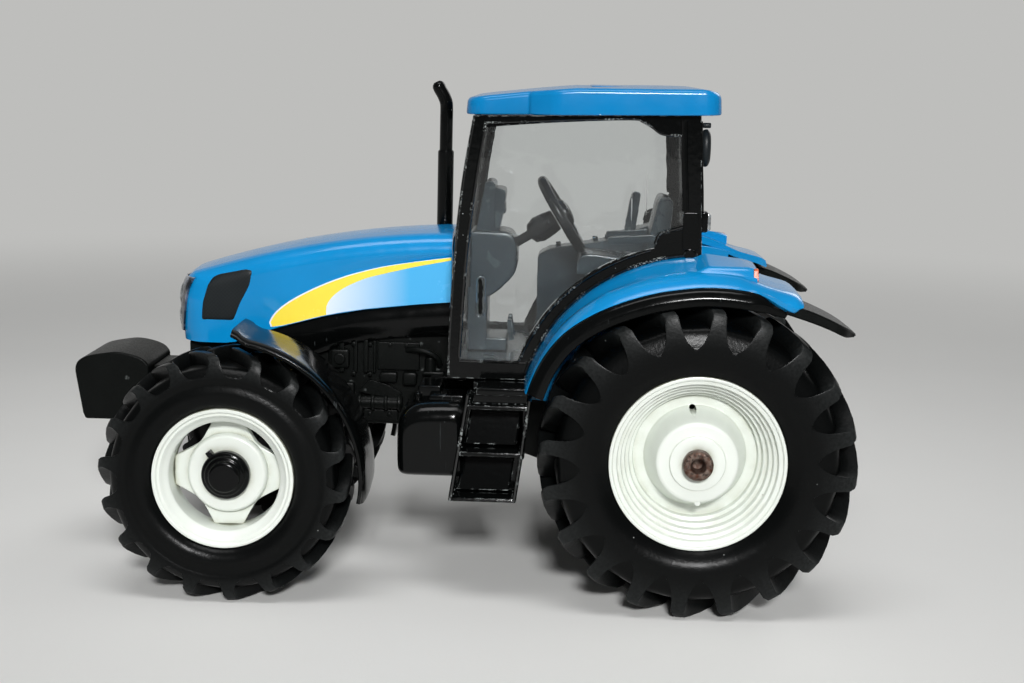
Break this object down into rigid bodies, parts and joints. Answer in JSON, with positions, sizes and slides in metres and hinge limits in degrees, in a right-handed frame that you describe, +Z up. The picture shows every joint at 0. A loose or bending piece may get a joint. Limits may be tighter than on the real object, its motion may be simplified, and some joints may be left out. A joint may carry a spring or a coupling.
{
  "type": "toy farm tractor",
  "caption": "Die-cast toy farm tractor with a glazed cab, front weight and exhaust stack, lugged tyres, wheels that turn and a steered front axle.",
  "frame": {"origin": "on the ground under the middle of the overall length and width", "axes": "+X forward, +Y to the tractor's left, +Z up"},
  "size_m": [0.1402, 0.071, 0.0896],
  "materials": {
    "blue_enamel": "gloss blue enamel on die-cast zinc",
    "blue_plastic": "gloss blue moulded plastic",
    "black_gloss_plastic": "gloss black moulded plastic",
    "grille_plastic": "dark grey smoked plastic",
    "chassis_plastic": "matt charcoal moulded plastic",
    "cab_grey_plastic": "mid grey moulded plastic",
    "clear_plastic": "clear polystyrene",
    "white_plastic": "off-white moulded plastic",
    "tyre_rubber": "black moulded rubber",
    "axle_steel": "rust-stained plain steel",
    "amber_lens": "orange painted lens"
  },
  "bodies": {
    "tractor": {"rear_axle": "axle_steel", "engine_casting": "chassis_plastic", "gearbox_casting": "chassis_plastic", "front_frame": "chassis_plastic", "front_axle_beam": "chassis_plastic", "front_weight": "chassis_plastic", "weight_bracket": "chassis_plastic", "bonnet": "blue_enamel", "grille": "grille_plastic", "bonnet_skirt_left": "black_gloss_plastic", "bonnet_skirt_right": "black_gloss_plastic", "step_left": "black_gloss_plastic", "step_right": "black_gloss_plastic", "fuel_tank_left": "black_gloss_plastic", "fuel_tank_right": "black_gloss_plastic", "cab_frame": "black_gloss_plastic", "door_glass_left": "clear_plastic", "door_glass_right": "clear_plastic", "windscreen": "clear_plastic", "rear_window": "clear_plastic", "roof": "blue_plastic", "cab_floor": "cab_grey_plastic", "dash_console": "cab_grey_plastic", "steering_column": "cab_grey_plastic", "steering_wheel": "cab_grey_plastic", "driver_seat": "cab_grey_plastic", "side_console": "cab_grey_plastic", "exhaust_stack": "black_gloss_plastic", "rear_fender_left": "blue_enamel", "rear_fender_right": "blue_enamel", "fender_edging_left": "black_gloss_plastic", "fender_edging_right": "black_gloss_plastic", "tow_hitch": "chassis_plastic", "work_lamps": "black_gloss_plastic", "tail_lamps": "amber_lens"},
    "knuckle_left": {"steering_knuckle_left": "chassis_plastic", "front_fender_left": "black_gloss_plastic"},
    "knuckle_right": {"steering_knuckle_right": "chassis_plastic", "front_fender_right": "black_gloss_plastic"},
    "front_wheel_left": {"front_rim_left": "white_plastic", "front_tyre_left": "tyre_rubber", "front_hub_cap_left": "black_gloss_plastic"},
    "front_wheel_right": {"front_rim_right": "white_plastic", "front_tyre_right": "tyre_rubber", "front_hub_cap_right": "black_gloss_plastic"},
    "rear_wheel_left": {"rear_rim_left": "white_plastic", "rear_tyre_left": "tyre_rubber"},
    "rear_wheel_right": {"rear_rim_right": "white_plastic", "rear_tyre_right": "tyre_rubber"},
    "tie_rod": {"tie_rod": "chassis_plastic"}
  },
  "joints": [
    {"name": "steer_left", "type": "hinge", "parent": "tractor", "child": "knuckle_left", "pos_m": [0.03762, 0.0165, 0.02185], "axis": [0, 0, 1], "range_deg": [-18, 18]},
    {"name": "steer_right", "type": "hinge", "parent": "tractor", "child": "knuckle_right", "pos_m": [0.03762, -0.0165, 0.02185], "axis": [0, 0, 1], "range_deg": [-18, 18]},
    {"name": "tie_rod_slide", "type": "slide", "parent": "tractor", "child": "tie_rod", "axis": [0, 1, 0], "range_m": [-0.0022, 0.0022]},
    {"name": "front_wheel_left_spin", "type": "hinge", "parent": "knuckle_left", "child": "front_wheel_left", "pos_m": [0.03762, 0.0272, 0.02185], "axis": [0, 1, 0], "continuous": true},
    {"name": "front_wheel_right_spin", "type": "hinge", "parent": "knuckle_right", "child": "front_wheel_right", "pos_m": [0.03762, -0.0272, 0.02185], "axis": [0, 1, 0], "continuous": true},
    {"name": "rear_wheel_left_spin", "type": "hinge", "parent": "tractor", "child": "rear_wheel_left", "pos_m": [-0.04297, 0.027, 0.02715], "axis": [0, 1, 0], "continuous": true},
    {"name": "rear_wheel_right_spin", "type": "hinge", "parent": "tractor", "child": "rear_wheel_right", "pos_m": [-0.04297, -0.027, 0.02715], "axis": [0, 1, 0], "continuous": true}
  ],
  "couplings": [
    {"joint": "steer_right", "follows": "steer_left", "ratio": 1},
    {"joint": "tie_rod_slide", "follows": "steer_left", "m_per_rad": -0.0068854}
  ]
}
